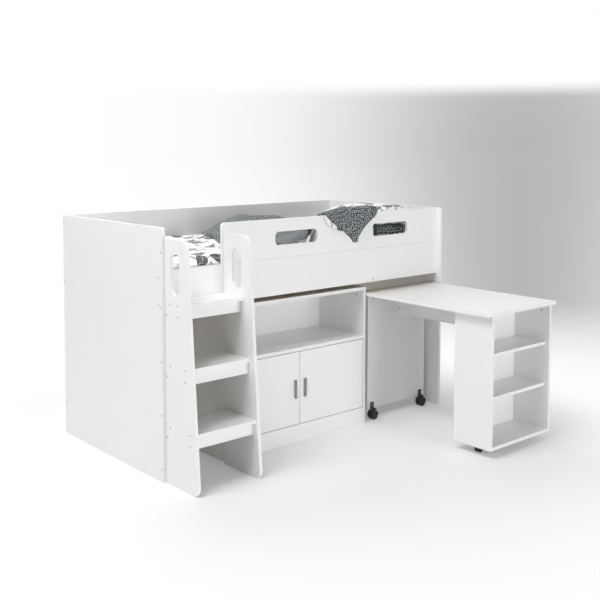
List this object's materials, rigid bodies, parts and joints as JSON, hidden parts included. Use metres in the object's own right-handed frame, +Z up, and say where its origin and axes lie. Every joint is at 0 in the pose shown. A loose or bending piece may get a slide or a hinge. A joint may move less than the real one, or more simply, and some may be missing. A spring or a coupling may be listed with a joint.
{
  "type": "cabin bed with desk and cupboard",
  "caption": "Mid-height single bed of white boards with a ladder, a two-door cupboard under it and a narrow desk with a bookcase end that rolls out on castors.",
  "frame": {"origin": "on the floor, under the middle of the bounding box with the desk pulled out", "axes": "+X along the bed from the ladder end to the desk end, +Y from the front to the back, +Z up"},
  "size_m": [1.98, 1.755, 1.2314],
  "materials": {
    "white_board": "satin white foil on particle board",
    "pine": "planed, unfinished",
    "zinc": "zinc plated",
    "dark_metal": "satin dark grey",
    "black_metal": "black",
    "black_plastic": "moulded",
    "mattress_cover": "woven",
    "printed_cotton": "woven, printed with leaves",
    "dotted_cotton": "woven, printed with small dots"
  },
  "bodies": {
    "bed": {"end_panel_left": "white_board", "end_panel_right": "white_board", "front_rail": "white_board", "guard_panel": "white_board", "back_panel": "white_board", "back_lower_rail": "white_board", "slat_battens": "pine", "cross_tie": "pine", "slats": "pine", "frame_screws": "zinc", "guard_dowels": "pine", "ladder_board_left": "white_board", "ladder_board_right": "white_board", "tread_bottom": "white_board", "tread_middle": "white_board", "tread_top": "white_board", "apron_bottom": "white_board", "apron_middle": "white_board", "apron_top": "white_board", "step_back_rails": "white_board", "cupboard_side_left": "white_board", "cupboard_side_right": "white_board", "cupboard_top": "white_board", "niche_shelf": "white_board", "cupboard_bottom": "white_board", "plinth": "white_board", "cupboard_back": "white_board", "hinge_arms": "zinc", "cupboard_cams": "zinc", "mattress": "mattress_cover", "duvet": "printed_cotton", "pillow_lower": "dotted_cotton", "pillow_upper": "printed_cotton"},
    "desk": {"desktop": "white_board", "desk_rear_panel": "white_board", "desk_stretcher": "white_board", "bookcase_side_left": "white_board", "bookcase_side_right": "white_board", "bookcase_back": "white_board", "bookcase_shelf_lower": "white_board", "bookcase_shelf_upper": "white_board", "bookcase_bottom": "white_board", "desk_cams": "zinc", "castor_mounts": "black_metal", "castor_screws": "zinc"},
    "left_door": {"door_left": "white_board", "handle_left": "dark_metal", "hinge_cups_left": "zinc"},
    "right_door": {"door_right": "white_board", "handle_right": "dark_metal", "hinge_cups_right": "zinc"},
    "hood_rear_left": {"castor_hood_rear_left": "black_plastic"},
    "wheels_rear_left": {"castor_wheels_rear_left": "black_plastic"},
    "hood_rear_right": {"castor_hood_rear_right": "black_plastic"},
    "wheels_rear_right": {"castor_wheels_rear_right": "black_plastic"},
    "hood_front_left": {"castor_hood_front_left": "black_plastic"},
    "wheels_front_left": {"castor_wheels_front_left": "black_plastic"},
    "hood_front_right": {"castor_hood_front_right": "black_plastic"},
    "wheels_front_right": {"castor_wheels_front_right": "black_plastic"}
  },
  "joints": [
    {"name": "desk_roll", "type": "slide", "parent": "bed", "child": "desk", "axis": [0, 1, 0], "range_m": [0, 0.814]},
    {"name": "left_door_hinge", "type": "hinge", "parent": "bed", "child": "left_door", "pos_m": [-0.585, -0.0515, 0.289], "axis": [0, 0, -1], "range_deg": [0, 90]},
    {"name": "right_door_hinge", "type": "hinge", "parent": "bed", "child": "right_door", "pos_m": [0.361, -0.0515, 0.289], "axis": [0, 0, 1], "range_deg": [0, 95]},
    {"name": "swivel_rear_left", "type": "hinge", "parent": "desk", "child": "hood_rear_left", "pos_m": [0.484, -0.0275, 0.053], "axis": [0, 0, 1], "continuous": true},
    {"name": "spin_rear_left", "type": "hinge", "parent": "hood_rear_left", "child": "wheels_rear_left", "pos_m": [0.47, -0.0275, 0.025], "axis": [0, 1, 0], "continuous": true},
    {"name": "swivel_rear_right", "type": "hinge", "parent": "desk", "child": "hood_rear_right", "pos_m": [0.898, -0.0275, 0.053], "axis": [0, 0, 1], "continuous": true},
    {"name": "spin_rear_right", "type": "hinge", "parent": "hood_rear_right", "child": "wheels_rear_right", "pos_m": [0.884, -0.0275, 0.025], "axis": [0, 1, 0], "continuous": true},
    {"name": "swivel_front_left", "type": "hinge", "parent": "desk", "child": "hood_front_left", "pos_m": [0.498, -0.758, 0.039], "axis": [0, 0, 1], "continuous": true},
    {"name": "spin_front_left", "type": "hinge", "parent": "hood_front_left", "child": "wheels_front_left", "pos_m": [0.484, -0.758, 0.018], "axis": [0, 1, 0], "continuous": true},
    {"name": "swivel_front_right", "type": "hinge", "parent": "desk", "child": "hood_front_right", "pos_m": [0.86, -0.758, 0.039], "axis": [0, 0, 1], "continuous": true},
    {"name": "spin_front_right", "type": "hinge", "parent": "hood_front_right", "child": "wheels_front_right", "pos_m": [0.846, -0.758, 0.018], "axis": [0, 1, 0], "continuous": true}
  ]
}
